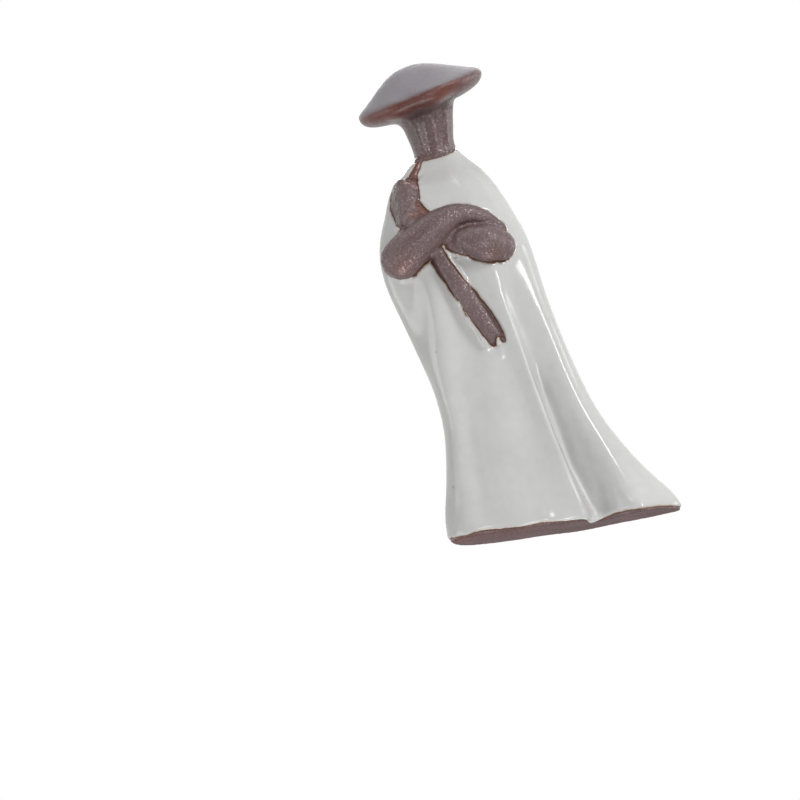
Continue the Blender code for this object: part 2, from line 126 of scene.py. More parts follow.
# Bare patches on the front, drawn round their edges as x and z
GRIP_PATCH = [(-14.7, 64.8), (-16.4, 61.6), (-16.4, 59.9), (-16.5, 57.1), (-16.7, 56.4),
              (-15.8, 55.2), (-14.9, 53.8), (-12.7, 53.0), (-14.1, 51.0), (-18.4, 50.5),
              (-19.8, 51.2), (-20.3, 52.0), (-20.9, 52.9), (-21.6, 56.3), (-21.4, 58.2),
              (-20.9, 60.2), (-20.1, 61.0), (-19.0, 60.9), (-17.9, 61.5), (-17.0, 62.6),
              (-15.6, 64.8)]
SCABBARD_PATCH = [(-13.9, 47.6), (-12.9, 45.3), (-11.5, 43.0), (-9.6, 40.0), (-7.7, 36.4),
                  (-6.5, 33.8), (-6.0, 32.3), (-5.9, 31.0), (-6.3, 30.9), (-6.6, 31.6),
                  (-7.1, 31.7), (-7.3, 31.1), (-7.4, 30.5), (-7.9, 30.4), (-8.5, 30.8),
                  (-9.5, 32.3), (-11.4, 35.8), (-13.2, 39.9), (-15.0, 43.6), (-16.0, 45.8),
                  (-15.4, 49.0)]
HAND_PATCH = [(-13.4, 47.5), (-12.2, 46.5), (-11.1, 45.9), (-10.0, 45.7), (-8.7, 45.1),
              (-7.0, 46.5), (-10.0, 49.0), (-13.6, 48.8)]
PATCH_BACK = 0.5               # y, how far back the patches reach
NO_PATCH = 9.0                 # distance counted behind that

# Grip: its middle, how far from it the clay is rounded off, and its lumps
GRIP, GRIP_REACH, GRIP_CORE = (-18.4, -5.6, 57.6), 6.0, 0.7
GRIP_PASSES = 30               # further rounds that round off the grip alone
GRIP_LUMPS, GRIP_LUMP_LENGTH = 0.18, 1.7

# Hat: middle of the brim, radius, its tilt in degrees, and where its marks set in
BRIM = (-14.09, -0.59, 76.0)
BRIM_RADIUS = 11.4
BRIM_ROLL, BRIM_PITCH = -15.5, 16.5
HAT_TURN = (Matrix.Rotation(math.radians(BRIM_ROLL), 3, "Y")
            @ Matrix.Rotation(math.radians(BRIM_PITCH), 3, "X"))
BRIM_ROUNDED_UP, BRIM_ROUNDED_OUT = (-4.0, -3.0), (6.0, 8.5)
HAT_FROM = (-3.6, -2.4)        # height over the brim's middle where the hat starts
# The hat's up-facing top counts as dusty; its lighter grey is partly a painted sheen from above.
ASH_AND_SHEEN_FACING, ASH_AND_SHEEN_UP = (0.30, 0.85), (-0.6, 0.6)
BURNT_OUT = (0.70 * BRIM_RADIUS, 0.92 * BRIM_RADIUS)
BURNT_FACING, BURNT_RIGHT, BURNT_LOST = (-0.3, 0.5), (4.0, 9.0), 0.75

# Head: middle of its foot and top, the upright ridges on its front, and its shiny part
HEAD_FOOT, HEAD_TOP = (-12.8, 0.0, 64.6), (-13.6, -0.59, 75.2)
HEAD_PASSES = 45               # rounds that round the head off
HEAD_ROUNDED = (0.02, 0.10), (0.80, 0.92)       # shares of its height
RIDGE_TURN, RIDGE_STEP = 11.5, 44.5     # degrees from the front to one ridge, and between ridges
RIDGE_SIDES = (-54.0, -42.0), (36.0, 46.0)      # degrees
RIDGE_ENDS = (0.0, 0.12), (0.75, 0.95)          # shares of the head's height
RIDGE_HEIGHT = 0.22
SHINY_FROM, SHINY_TOP = (0.0, 0.5), -3.0        # over the collar, and under the hat

# Small nicks and pits in the clay: place, reach, depth
NICKS = [(-16.8, -6.3, 56.0, 0.40, 0.32), (-19.9, -6.1, 58.3, 0.30, 0.16),
         (-17.9, -7.2, 53.7, 0.40, 0.25), (-18.4, -6.6, 56.6, 0.9, 0.14),
         (-9.4, -2.9, 72.2, 0.30, 0.30), (-8.9, -2.4, 72.5, 0.30, 0.30)]

# Places where the clay has burnt red-brown: place, reach, strength
RUST = [(-15.4, -3.8, 63.4, 1.3, 0.95), (-16.6, -4.3, 61.8, 1.3, 0.85),
        (-17.2, -5.3, 60.0, 1.0, 0.45), (-15.7, -6.4, 54.4, 1.4, 0.85),
        (-16.8, -6.3, 56.0, 0.6, 1.0), (-17.9, -7.2, 53.7, 0.7, 0.8), (-19.9, -6.1, 58.3, 0.4, 0.8),
        (-20.5, -8.2, 44.4, 2.2, 0.5), (-6.0, -9.0, 44.8, 1.5, 0.3), (-18.5, -5.0, 0.0, 3.5, 0.55),
        (-9.0, -6.0, 0.0, 5.0, 0.25)]

# Places where the glaze has pooled: x and z on the front, reach and height
POOLS = [(-13.2, 1.2, 1.2, 0.26), (-3.3, 1.1, 1.2, 0.24), (11.3, 2.0, 1.5, 0.28),
         (3.8, 0.4, 0.8, 0.22), (-6.8, 29.9, 0.6, 0.22), (-6.7, 28.9, 0.6, 0.16),
         (-16.4, 45.4, 0.8, 0.20), (-8.3, 44.6, 0.8, 0.16), (-21.6, 51.2, 0.8, 0.20),
         (-1.2, 47.0, 0.9, 0.18)]
HEM_ROLL = (1.3, 0.8, 0.05)    # z, reach and height of the roll along the hem

# Dark specks in the glaze: place and reach
SPECKS = [(-17.7, -4.4, 8.7, 0.40), (4.1, -4.1, 4.1, 0.40), (-17.4, -4.8, 31.2, 0.35)]
SPECK_CORE, SPECK_SHARE = 0.3, 0.5      # share of the reach that is darkest, and how dark

# Height of the glaze edge over the foot, along the front of the hem: x and z
HEM_FRONT = [(-19.4, 0.60), (-18.0, 0.30), (-16.5, 0.20), (-15.2, 0.45), (-14.0, 0.62),
             (-12.6, 0.58), (-11.0, 0.42), (-9.0, 0.25), (-7.0, 0.15), (-5.6, 0.32),
             (-4.4, 0.48), (-3.0, 0.40), (-1.5, 0.25), (0.5, 0.10), (2.2, 0.0), (3.1, -0.5),
             (3.8, -1.5), (4.5, -1.0), (5.2, -0.1), (6.0, 0.35), (7.5, 0.55), (9.5, 0.55),
             (11.5, 0.45), (13.0, 0.55), (14.8, 0.60), (16.4, 0.55), (18.0, 0.45), (19.2, 0.45)]
HEM_BACK = 0.45                # and at the back
HEM_TURN = (-1.5, 0.5)         # y where the front's edge goes over into the back's
HEM_RING = (0.5, 1.0)          # z of the points that mark the foot's outline
FOOT_BAND, FOOT_ROUND = 0.45, 0.15      # z of what is counted inwards, and the foot's rounding

# Colours from 0 to 255, each list with the places of its colours along the mottle or the edge
CLAY_TONES = [(0.30, (86, 67, 66)), (0.50, (101, 81, 81)), (0.70, (116, 97, 97))]
# The hat top's dusty grey, lightened in part as a painted sheen from above.
ASH_AND_SHEEN_TONES = [(0.30, (128, 122, 127)), (0.70, (144, 140, 146))]
BURNT_TONES = [(0.35, (82, 36, 27)), (0.65, (112, 60, 48))]
RUST_TONES = [(0.35, (98, 54, 42)), (0.65, (134, 86, 72))]
GLAZE_TONES = [(0.30, (205, 205, 204)), (0.70, (217, 217, 216))]
IRON_TONES = [(0.0, (98, 60, 32)), (0.12, (140, 94, 50)), (0.27, (192, 172, 142))]
# The second of these is painted shade: a dark burnt red-brown laid into the clay's creases.
EDGE_CLAY, CREASE_SHADE_CLAY = (96, 58, 42), (78, 40, 34)
FLAKE_TONE, SPECK_TONE = (150, 134, 136), (96, 88, 80)
BURNT_SHARE = 0.95             # how far the burnt colour covers the brim

# Share of iron on the clay and in the thin glaze, by distance from the glaze edge
EDGE_FADE = [(0.0, 0.8), (0.06, 0.45), (0.20, 0.0)]
THIN_FADE = [(0.0, 1.0), (0.09, 0.90), (0.18, 0.42), (0.38, 0.0)]
CREASE_SHADE_DEPTH, CREASE_SHADE_SHARE = (0.03, 0.14), 0.6          # creases darkened with painted shade, and how far

# Mineral flakes in the clay: size, which of them glint, and how they lean, shine and lighten
FLAKE_SIZE = 0.22
FLAKE_CHOICE = [(0.60, 0.0), (0.70, 1.0)]
FLAKE_TILT, FLAKE_METAL, FLAKE_LIGHT = 0.30, 0.3, 0.28

# Surfaces
CLAY_IOR, GLAZE_IOR = 1.45, 1.5
CLAY_DULL, CLAY_FLAKE = 0.42, 0.30      # roughness of plain clay and of its flakes
ROUGH_PLACES = [("ash", 0.62), ("brim", 0.34), ("head", 0.29)]
CLAY_FOOT = 1.0
FOOT_Z = (0.25, 0.05)          # z where the matt foot sets in
GLAZE_ROUGHNESS = 0.17
GRAIN_SIZE, GRAIN_STRENGTH, GRAIN_HEIGHT = 0.16, 0.8, 0.06      # grain of the clay
RIPPLE_SIZE, RIPPLE_STRENGTH, RIPPLE_HEIGHT = 1.1, 0.12, 0.03   # ripple of the glaze
GRAIN_NOISE, RIPPLE_NOISE = (3.0, 0.6), (2.0, 0.5)      # detail and roughness of each
GRAIN_FLAKES = 0.5             # share of the flakes in the grain
CLAY_MOTTLE, GLAZE_MOTTLE = (7.0, 0.5, 0.4), (9.0, 1.6, 0.35)    # broad size, fine size, fine share
MOTTLE_DETAIL, MOTTLE_ROUGHNESS = 3.0, 0.55

# Studio
FLOOR_SIZE, FLOOR_Z = 6.0, -0.00005     # m
FLOOR_TONE, FLOOR_ROUGHNESS = (0.92, 0.92, 0.92), 0.9
FLOOR_FADES = (0.08, 0.50)     # m from the figurine where the floor fades to white
WHITE = (1.0, 1.0, 1.0)
WORLD_LIGHT = 0.07
LAMPS = [                      # turn from the front and height angle, width and height, watts
    (42.0, 27.0, 230.0, 420.0, 5.2),
    (8.0, -14.0, 260.0, 260.0, 2.5),
    (-10.0, 84.0, 600.0, 600.0, 2.8),
    (-62.0, 42.0, 400.0, 400.0, 1.2),
    (-62.0, -22.0, 240.0, 240.0, 1.0),
    (-88.0, -5.0, 400.0, 600.0, 1.8),
    (102.0, 8.0, 500.0, 500.0, 2.4),
    (0.0, -82.0, 500.0, 500.0, 5.0),
    (180.0, 36.0, 500.0, 500.0, 3.6),
]
LAMP_AWAY = 1000.0
MIDDLE = (-5.0, 0.0, 42.0)     # of the figurine, where the lamps point

# Camera: it stands below the figurine's middle, looks up a little and is rolled
CAMERA_PLACE = Vector((-24.2, -450.0, -54.4))
CAMERA_AIM = Vector((-24.2, 0.0, 24.9))
CAMERA_ROLL = 7.8              # degrees
CAMERA_NEAR = 0.01             # m
PHOTO_SCALE = 6.05             # photo pixels to a millimetre at the aim
PHOTO_WIDTH = 800.0
SENSOR = 36.0


def read_numbers(items, name, width, kind):
    """One row of numbers for each item of a mesh."""
    flat = np.empty(len(items) * width, dtype=kind)
    items.foreach_get(name, flat)
    return flat.reshape(-1, width)


def points_of(obj):
    """Vertex places of a mesh in millimetres."""
    return read_numbers(obj.data.vertices, "co", 3, np.float64) / MM


def normals_of(obj):
    """Direction that the surface faces at each vertex."""
    return read_numbers(obj.data.vertex_normals, "vector", 3, np.float32).astype(np.float64)


def edges_of(obj):
    """Two vertices of each side in a mesh."""
    return read_numbers(obj.data.edges, "vertices", 2, np.int32)


def triangles_of(obj):
    """Three vertices of each face in a mesh of triangles."""
    return read_numbers(obj.data.polygons, "vertices", 3, np.int32)


def put_points(obj, points):
    """Moves the vertices of a mesh to places in millimetres."""
    obj.data.vertices.foreach_set("co", (points * MM).ravel())
    obj.data.update()


def store(obj, name, values):
    """Keeps one number for each vertex under a name that the materials read."""
    layer = obj.data.attributes.get(name) or obj.data.attributes.new(name, "FLOAT", "POINT")
    layer.data.foreach_set("value", values.astype(np.float32))


def chosen(obj):
    """Selects one object alone and makes it active."""
    bpy.ops.object.select_all(action="DESELECT")
    obj.select_set(True)
    bpy.context.view_layer.objects.active = obj


def ease(values, low, high):
    """0 up to low, 1 from high on, and a smooth step between."""
    share = np.clip((values - low) / (high - low), 0.0, 1.0)
    return share * share * (3.0 - 2.0 * share)


def between(values, rise, fall):
    """1 between two spans of values, with a smooth step over each."""
    return ease(values, *rise) * (1.0 - ease(values, *fall))


def pulled(values, edges):
    """Mean of each vertex's neighbours."""
    count = len(values)
    degree = np.bincount(edges.ravel(), minlength=count).astype(np.float64)
    degree[degree == 0] = 1.0
    mean = np.empty_like(values)
    for axis in range(values.shape[1]):
        column = values[:, axis]
        mean[:, axis] = (np.bincount(edges[:, 0], column[edges[:, 1]], count)
                         + np.bincount(edges[:, 1], column[edges[:, 0]], count)) / degree
    return mean


def evened(points, edges, passes):
    """Takes facets out of a surface and keeps its size, by pulling in and out in turn."""
    for _ in range(passes):
        for share in (EVENING_IN, EVENING_OUT):
            points = points + share * (pulled(points, edges) - points)
    return points


def smoothed(points, edges, share, passes):
    """Smooths a surface in rounds, at each point by its own share."""
    for _ in range(passes):
        points = points + share[:, None] * 0.5 * (pulled(points, edges) - points)
    return points


def drawn_out(points, edges, share, passes):
    """Evens the robe along the run of its pleats only, so that they stay as deep as they are."""
    count = len(points)
    way = points[edges[:, 1]] - points[edges[:, 0]]
    middle = 0.5 * (points[edges[:, 1], 0] + points[edges[:, 0], 0])
    slope = PLEAT_SLOPE - np.where(middle < 0.0, SPREAD_LEFT, SPREAD_RIGHT) * middle
    along = np.stack([slope, np.zeros(len(slope)), np.ones(len(slope))], axis=1)
    along /= np.linalg.norm(along, axis=1)[:, None]
    length = np.linalg.norm(way, axis=1)
    weight = (np.einsum("ij,ij->i", way, along) / length) ** DRAWN_FOCUS + DRAWN_REST
    total = np.bincount(edges[:, 0], weight, count) + np.bincount(edges[:, 1], weight, count)
    for _ in range(passes):
        mean = np.empty_like(points)
        for axis in range(3):
            column = points[:, axis]
            mean[:, axis] = (np.bincount(edges[:, 0], weight * column[edges[:, 1]], count)
                             + np.bincount(edges[:, 1], weight * column[edges[:, 0]], count))
        points = points + 0.5 * share[:, None] * (mean / total[:, None] - points)
    return points


def averaged(values, edges, rounds):
    """One number for each vertex, evened out over its neighbours."""
    for _ in range(rounds):
        values = 0.5 * values + 0.5 * pulled(values[:, None], edges)[:, 0]
    return values


def wave(points, length, seed, octaves=1):
    """Smooth unevenness between -1 and 1 at each point."""
    shift = Vector([seed * step for step in WAVE_SHIFT])
    values = np.empty(len(points))
    for index, point in enumerate(points):
        spot = Vector(point) / length + shift
        if octaves == 1:
            values[index] = noise.noise(spot)
        else:
            values[index] = noise.fractal(spot, WAVE_ROUGHNESS, WAVE_STEP, octaves)
    return values


def point_tree(places):
    """Lookup of the nearest of many places."""
    tree = KDTree(len(places))
    for index, place in enumerate(places):
        tree.insert(place, index)
    tree.balance()
    return tree


def distance_to(points, marks):
    """Distance of each point from the nearest mark."""
    tree = point_tree(marks)
    return np.array([tree.find(point)[2] for point in points])


def along_segment(points, start, end):
    """Share of the way from start to end nearest to each point, and the offset from there."""
    start, end = np.array(start), np.array(end)
    way = end - start
    share = np.clip((points - start) @ way / (way @ way), 0.0, 1.0)
    return share, points - start - share[:, None] * way


def from_tube(points, line):
    """Distance of each point from a sleeve's skin."""
    nearest = np.full(len(points), FAR)
    squash = np.array([1.0, 1.0 / SLEEVE_FLAT, 1.0])
    for start, end in zip(line, line[1:]):
        share, offset = along_segment(points, start[:3], end[:3])
        radius = start[3] + (end[3] - start[3]) * share
        nearest = np.minimum(nearest, np.linalg.norm(offset * squash, axis=1) - radius)
    return nearest


def from_outline(points, outline):
    """Distance, seen from the front, from a drawn outline, below zero inside it."""
    flat = points[:, [0, 2]]
    nearest = np.full(len(points), FAR)
    inside = np.zeros(len(points), dtype=bool)
    for start, end in zip(outline, outline[1:] + outline[:1]):
        offset = along_segment(flat, start, end)[1]
        nearest = np.minimum(nearest, np.linalg.norm(offset, axis=1))
        level = (start[1] > flat[:, 1]) != (end[1] > flat[:, 1])
        climb = (end[1] - start[1]) or TINY
        slant = start[0] + (flat[:, 1] - start[1]) * (end[0] - start[0]) / climb
        inside ^= level & (flat[:, 0] < slant)
    return np.where(inside, -nearest, nearest)


def along_line(points, line):
    """Height of one drawn line at each point of the front, fading to both sides."""
    nearest = np.full(len(points), FAR)
    rise = np.zeros(len(points))
    for start, end in zip(line, line[1:]):
        share, offset = along_segment(points[:, [0, 2]], start[:2], end[:2])
        first, last = np.array(start[2:]), np.array(end[2:])
        height, left, right = (first + share[:, None] * (last - first)).T
        away = np.linalg.norm(offset, axis=1)
        fade = (away / np.where(offset[:, 0] < 0.0, left, right)) ** 2
        closer = away < nearest
        nearest[closer] = away[closer]
        rise[closer] = (height * np.exp(-fade))[closer]
    return rise


def spots(points, marks):
    """Sum of soft round spots, each with a place, a reach and a height."""
    total = np.zeros(len(points))
    for x, y, z, reach, height in marks:
        total += height * np.exp(-((points - (x, y, z)) ** 2).sum(axis=1) / reach ** 2)
    return total


def from_raised(points):
    """Distance from the bare sleeves, hand and sword."""
    sleeves = np.minimum(from_tube(points, UPPER_SLEEVE), from_tube(points, LOWER_SLEEVE))
    patches = np.minimum(from_outline(points, GRIP_PATCH), from_outline(points, SCABBARD_PATCH))
    patches = np.minimum(patches, from_outline(points, HAND_PATCH))
    patches = np.where(points[:, 1] < PATCH_BACK, patches, NO_PATCH)
    return np.minimum(sleeves - SLEEVE_BARE, patches)


def under_collar(points):
    """Distance below the tilted line where the head rises out of the glaze."""
    return (COLLAR[2] + COLLAR_SLOPE[0] * (points[:, 0] - COLLAR[0])
            + COLLAR_SLOPE[1] * (points[:, 1] - COLLAR[1]) - points[:, 2])


def over_hem(points):
    """Height of each point over the glaze edge at the hem, counted inwards under the foot."""
    ring = points[(points[:, 2] > HEM_RING[0]) & (points[:, 2] < HEM_RING[1])]
    tree = point_tree([(x, y, 0.0) for x, y, _ in ring])
    height = points[:, 2].copy()
    for index in np.nonzero(points[:, 2] < FOOT_BAND)[0]:
        x, y, _ = points[index]
        height[index] -= max(tree.find((x, y, 0.0))[2] - FOOT_ROUND, 0.0)
    front = np.interp(points[:, 0], *zip(*HEM_FRONT))
    share = np.clip((points[:, 1] - HEM_TURN[0]) / (HEM_TURN[1] - HEM_TURN[0]), 0.0, 1.0)
    return height - (front * (1.0 - share) + HEM_BACK * share)


def over_glaze(points):
    """Above zero where the robe is glazed, in mm from its edge, and below zero on bare clay."""
    bare = np.minimum(from_raised(points), under_collar(points))
    bare = np.minimum(bare, over_hem(points))
    near = np.abs(bare) < EDGE_NEAR
    bare[near] += EDGE_WANDER * wave(points[near], EDGE_WAVE_LENGTH, EDGE_SEED, 2)
    return bare


def without_islands(height, edges):
    """Gives small islands of glaze on the clay, and of clay in the glaze, the side round them."""
    root = list(range(len(height)))

    def top_of(index):
        while root[index] != index:
            root[index] = root[root[index]]
            index = root[index]
        return index

    glazed = height > 0.0
    for a, b in edges[glazed[edges[:, 0]] == glazed[edges[:, 1]]].tolist():
        root[top_of(a)] = top_of(b)
    label = np.array([top_of(index) for index in range(len(height))])
    small = np.bincount(label, minlength=len(height))[label] < ISLAND
    return np.where(small, np.where(glazed, -ISLAND_LEVEL, ISLAND_LEVEL), height)


def fine_body():
    """Closed fine mesh of the whole figurine, made from a merged copy of the solid."""
    solid = bpy.data.objects[NODE]
    body = bpy.data.objects.new("clay_body", solid.data.copy())
    bpy.context.scene.collection.objects.link(body)
    chosen(body)
    bpy.ops.object.mode_set(mode="EDIT")
    bpy.ops.mesh.select_all(action="SELECT")
    bpy.ops.mesh.remove_doubles(threshold=MERGED * MM)
    bpy.ops.object.mode_set(mode="OBJECT")
    remesh = body.modifiers.new("fine", "REMESH")
    remesh.mode = "VOXEL"
    remesh.voxel_size = VOXEL * MM
    bpy.ops.object.modifier_apply(modifier=remesh.name)
    return body


def refined(body):
    """Meshes a band along the glaze edge more finely, and makes every face a triangle."""
    near = np.abs(over_glaze(points_of(body))) < FINE_BAND
    mesh = bmesh.new()
    mesh.from_mesh(body.data)
    bmesh.ops.triangulate(mesh, faces=mesh.faces[:])
    mesh.verts.ensure_lookup_table()
    band = [edge for edge in mesh.edges if near[edge.verts[0].index] and near[edge.verts[1].index]]
    bmesh.ops.subdivide_edges(mesh, edges=band, cuts=1, use_grid_fill=True)
    bmesh.ops.triangulate(mesh, faces=mesh.faces[:])
    mesh.to_mesh(body.data)
    mesh.free()


def hat_place(points):
    """Points seen from the hat's own middle, with its own upright."""
    return (points - np.array(BRIM)) @ np.array(HAT_TURN)


def head_turn(points):
    """Share of the head's height at each point, and its turn from the front in degrees."""
    foot, top = np.array(HEAD_FOOT), np.array(HEAD_TOP)
    share = (points[:, 2] - foot[2]) / (top[2] - foot[2])
    across = points - foot - share[:, None] * (top - foot)
    return share, np.degrees(np.arctan2(across[:, 0], -across[:, 1]))


def ridged(points):
    """Height of the two upright ridges on the front of the head."""
    share, turn = head_turn(points)
    window = between(turn, *RIDGE_SIDES) * between(share, *RIDGE_ENDS)
    return RIDGE_HEIGHT * window * np.cos((turn - RIDGE_TURN) * 2.0 * math.pi / RIDGE_STEP)


def pleated(points):
    """Height of the drawn pleats at each point of the front."""
    total = CREST_RISE * along_line(points, RIGHT_CREST)
    for line in (VALLEY, LEFT_GROOVE, LEFT_SWELL, MAIN_CREST):
        total += along_line(points, line)
    return total


def turned_back(points):
    """How far the left of the robe's front turns back."""
    past = np.maximum(LEFT_TURN - points[:, 0], 0.0)
    turn = LEFT_TURN_SLOPE * past ** 2 / (past + LEFT_TURN_EASE)
    return turn * between(points[:, 2], LEFT_TURN_FOOT, LEFT_TURN_TOP)


def laid_on_solid(points):
    """Moves points onto the skin of the solid."""
    solid = BVHTree.FromObject(bpy.data.objects[NODE], bpy.context.evaluated_depsgraph_get())
    return np.array([solid.find_nearest(Vector(point * MM))[0] for point in points]) / MM


def softened(points, edges):
    """Rounds off the robe, brim, grip, head and right crest. Gives the grip's share too."""
    local = hat_place(points)
    brim = ease(local[:, 2], *BRIM_ROUNDED_UP)
    brim *= ease(np.hypot(local[:, 0], local[:, 1]), *BRIM_ROUNDED_OUT)
    soft = np.maximum(ease(over_glaze(points), *ROUNDED_INSIDE), brim)
    grip = ease(-np.linalg.norm(points - GRIP, axis=1), -GRIP_REACH, -GRIP_CORE * GRIP_REACH)
    points = smoothed(points, edges, np.maximum(soft, grip), ROUNDING_PASSES)
    points = smoothed(points, edges, grip, GRIP_PASSES)
    head = between(head_turn(points)[0], *HEAD_ROUNDED)
    points = smoothed(points, edges, head, HEAD_PASSES)
    crest = along_line(points, RIGHT_CREST) * (points[:, 1] < 0.0)
    crest *= ease(over_glaze(points), *CREST_INSIDE)
    return smoothed(points, edges, crest, CREST_PASSES), grip


def folded(points, normals, edges):
    """Draws the folds out of the robe's broad form, and adds the pleats, ridges and nicks."""
    broad = smoothed(points, edges, np.ones(len(points)), BROAD_PASSES)
    inside, facing = over_glaze(points), -normals[:, 1]
    fold = np.einsum("ij,ij->i", points - broad, normals) - FOLD_REST
    fold *= ease(inside, *FOLD_INSIDE) * ease(facing, *FOLD_FACING)
    fold *= (1.0 - ease(points[:, 0], *FOLD_RIGHT)) * (1.0 - ease(points[:, 2], *FOLD_TOP))
    points = points + normals * (FOLD_GAIN * fold)[:, None]
    front = ease(inside, *FRONT_INSIDE) * ease(facing, *FRONT_FACING)
    points[:, 1] += front * (turned_back(points) - pleated(points))
    return points + normals * (ridged(points) - spots(points, NICKS))[:, None]


def shaped(body):
    """Evens the facets out, keeps the foot flat and adds the unevenness of handwork."""
    edges = edges_of(body)
    points = evened(laid_on_solid(points_of(body)), edges, EVENING_PASSES)
    put_points(body, points)
    normals = normals_of(body)
    swell = HAND_WAVE * wave(points, HAND_WAVE_LENGTH, HAND_SEED)
    swell *= np.clip(points[:, 2] / HAND_RISE, 0.0, 1.0)
    points, grip = softened(points + normals * (swell - HAND_SHRINK)[:, None], edges)
    lumps = grip * GRIP_LUMPS * wave(points, GRIP_LUMP_LENGTH, GRIP_SEED, 2)
    points = points + normals * lumps[:, None]
    points = drawn_out(points, edges, ease(over_glaze(points), *DRAWN_INSIDE), DRAWN_PASSES)
    put_points(body, points)
    points = folded(points, normals_of(body), edges)
    points[:, 2] = np.maximum(points[:, 2], 0.0)
    put_points(body, points)


def split_along(points, triangles, height):
    """Cuts a triangle mesh where height is zero. Gives points and the upper faces."""
    points = [tuple(point) for point in points]
    height = list(height)
    made = {}
    upper = []

    def crossing(a, b):
        key = (min(a, b), max(a, b))
        if key not in made:
            share = height[a] / (height[a] - height[b])
            points.append(tuple(p + (q - p) * share for p, q in zip(points[a], points[b])))
            height.append(0.0)
            made[key] = len(points) - 1
        return made[key]

    for face in triangles:
        above = [height[corner] > 0.0 for corner in face]
        below = [height[corner] < 0.0 for corner in face]
        if not any(below):
            if any(above):
                upper.append(tuple(face))
            continue
        if not any(above):
            continue
        outline = []
        for index in range(3):
            here, there = face[index], face[(index + 1) % 3]
            if height[here] >= 0.0:
                outline.append(here)
            if height[here] * height[there] < 0.0:
                outline.append(crossing(here, there))
        for index in range(1, len(outline) - 1):
            upper.append((outline[0], outline[index], outline[index + 1]))
    return np.array(points), np.array(upper)


def snapped(points, edges, height):
    """Puts points that almost lie on the edge of the glaze right on it."""
    length = np.linalg.norm(points[edges[:, 0]] - points[edges[:, 1]], axis=1)
    reach = np.full(len(points), FAR)
    np.minimum.at(reach, edges[:, 0], length)
    np.minimum.at(reach, edges[:, 1], length)
    return np.where(np.abs(height) < EDGE_SNAP * reach, 0.0, height)


def rim_sides(triangles):
    """Pairs of points along the boundary of an open surface."""
    sides = np.sort(np.concatenate([triangles[:, [0, 1]], triangles[:, [1, 2]],
                                    triangles[:, [2, 0]]]), axis=1)
    pairs, counts = np.unique(sides, axis=0, return_counts=True)
    return pairs[counts == 1]


def edge_walls(rim, upper, count):
    """Faces that join the top of the glaze to its underside along the rim."""
    directed = {side for a, b, c in upper for side in ((a, b), (b, c), (c, a))}
    walls = []
    for a, b in rim:
        if (a, b) not in directed:
            a, b = b, a
        walls += [(b, a, a + count), (b, a + count, b + count)]
    return np.array(walls)


def thin_underside(skin, hidden):
    """Takes faces out of the glaze's hidden underside."""
    group = skin.vertex_groups.new(name="underside")
    group.add(hidden, 1.0, "REPLACE")
    chosen(skin)
    thinner = skin.modifiers.new("thinner", "DECIMATE")
    thinner.vertex_group = group.name
    thinner.ratio = UNDERSIDE_KEPT
    bpy.ops.object.modifier_apply(modifier=thinner.name)
    skin.vertex_groups.clear()


def glaze_skin(points, normals, triangles, height, thickness):
    """Closed skin of glaze: its own top, an underside bedded in the clay, and a rolled edge."""
    full, upper = split_along(np.hstack([points, normals, thickness[:, None]]), triangles, height)
    used = np.unique(upper)
    index_of = np.full(len(full), -1)
    index_of[used] = np.arange(len(used))
    upper = index_of[upper]
    place, way, thick = full[used, :3], full[used, 3:6], full[used, 6]
    way = way / np.linalg.norm(way, axis=1)[:, None]
    rim = rim_sides(upper)
    rim_places = place[np.unique(rim)]
    reach = distance_to(place, rim_places)
    climb = np.clip(reach / GLAZE_ROLL, 0.0, 1.0)
    rise = np.sqrt(1.0 - (1.0 - climb) ** 2)
    top = place - way * (GLAZE - thick * rise)[:, None]
    under = place - way * (GLAZE + GLAZE_SINK)
    top[:, 2] = np.maximum(top[:, 2], 0.0)
    under[:, 2] = np.maximum(under[:, 2], UNDERSIDE_LIFT)
    count = len(place)
    faces = np.vstack([upper, upper[:, ::-1] + count, edge_walls(rim, upper, count)])
    data = bpy.data.meshes.new("robe_glaze")
    data.from_pydata([tuple(p) for p in np.vstack([top, under]) * MM], [],
                     [tuple(int(v) for v in f) for f in faces])
    data.update()
    skin = bpy.data.objects.new("robe_glaze", data)
    bpy.context.scene.collection.objects.link(skin)
    store(skin, "from_edge", np.concatenate([reach, reach]))
    thin_underside(skin, [int(index) + count for index in np.nonzero(reach > 0.0)[0]])
    return skin, rim_places


def pooled(points):
    """Extra thickness of the glaze where it has run together."""
    total = np.zeros(len(points))
    for x, z, reach, rise in POOLS:
        away = (points[:, 0] - x) ** 2 + (points[:, 2] - z) ** 2
        total += rise * np.exp(-away / reach ** 2)
    total *= points[:, 1] < 0.0
    place, reach, rise = HEM_ROLL
    return total + rise * np.exp(-((points[:, 2] - place) / reach) ** 2)


def creases(points, normals, edges):
    """How deep each point lies in a crease, below zero on a ridge."""
    hollow = points
    for _ in range(CREASE_ROUNDS):
        hollow = pulled(hollow, edges)
    depth = np.einsum("ij,ij->i", hollow - points, normals)
    return averaged(depth, edges, CREASE_EVENING)


def robe_share(points, signed, edges):
    """1 where the surface is the robe's, fading to 0 on sleeves, sword and head."""
    apart = np.minimum(from_raised(points) - ROBE_STEP, under_collar(points))
    return np.where(without_islands(apart, edges) > 0.0, 1.0, ease(signed, *ROBE_FADE))


def hat_marks(points, normals):
    """Masks of the hat's dusty top, painted lighter in part as a sheen from above, and of its burnt
    brim.
    """
    local, facing = hat_place(points), normals @ np.array(HAT_TURN)
    on_hat = ease(local[:, 2], *HAT_FROM)
    top = on_hat * ease(facing[:, 2], *ASH_AND_SHEEN_FACING) * ease(local[:, 2], *ASH_AND_SHEEN_UP)
    rim = on_hat * ease(np.hypot(local[:, 0], local[:, 1]), *BURNT_OUT) * (1.0 - top)
    front = ease(-facing[:, 1], *BURNT_FACING)
    front *= 1.0 - BURNT_LOST * ease(local[:, 0], *BURNT_RIGHT)
    return top, rim * front


